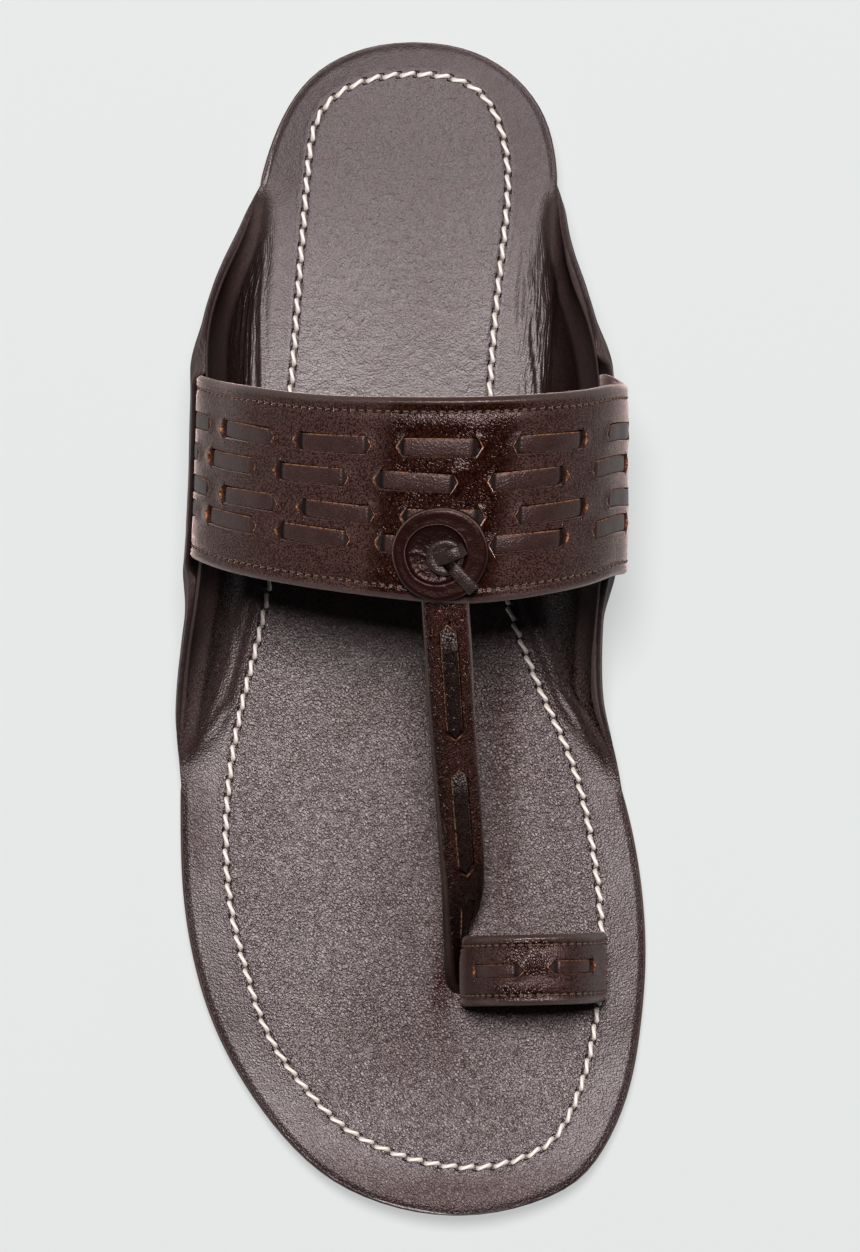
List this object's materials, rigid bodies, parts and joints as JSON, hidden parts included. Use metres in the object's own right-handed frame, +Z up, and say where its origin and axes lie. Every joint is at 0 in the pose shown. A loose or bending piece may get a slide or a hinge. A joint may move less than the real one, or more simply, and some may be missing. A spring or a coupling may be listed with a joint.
{
  "type": "toe post sandal",
  "caption": "Right-foot flat leather sandal with a wide laced instep strap, a toe strap down to the post, a big toe loop, upturned waist wings and a knotted leather button",
  "frame": {"origin": "on the ground below the middle of the sandal's outer box, with the flat faces of the heel and the forefoot at Z=0", "axes": "X across the sandal with +X towards the inner (medial) side of the foot, +Y from the toes to the heel, +Z up"},
  "size_m": [0.111, 0.276, 0.0844],
  "materials": {
    "outsole_leather": "matt red-brown sole leather with a burnished edge",
    "midsole_leather": "semi-matt dark brown leather with a dark painted edge",
    "insole_leather": "semi-matt chocolate leather with a fine pebble grain",
    "strap_leather": "dark brown pull-up leather, brushed matt with glossy crinkled bands and burnished edges",
    "button_leather": "dark red-brown leather, semi-gloss, with burnished rim",
    "thong_leather": "dark grey-brown flat leather thong, semi-gloss"
  },
  "bodies": {
    "root": {"outsole": "outsole_leather", "midsole": "midsole_leather", "insole": "insole_leather", "upper": "strap_leather", "button": "button_leather", "knot": "thong_leather"}
  },
  "joints": []
}
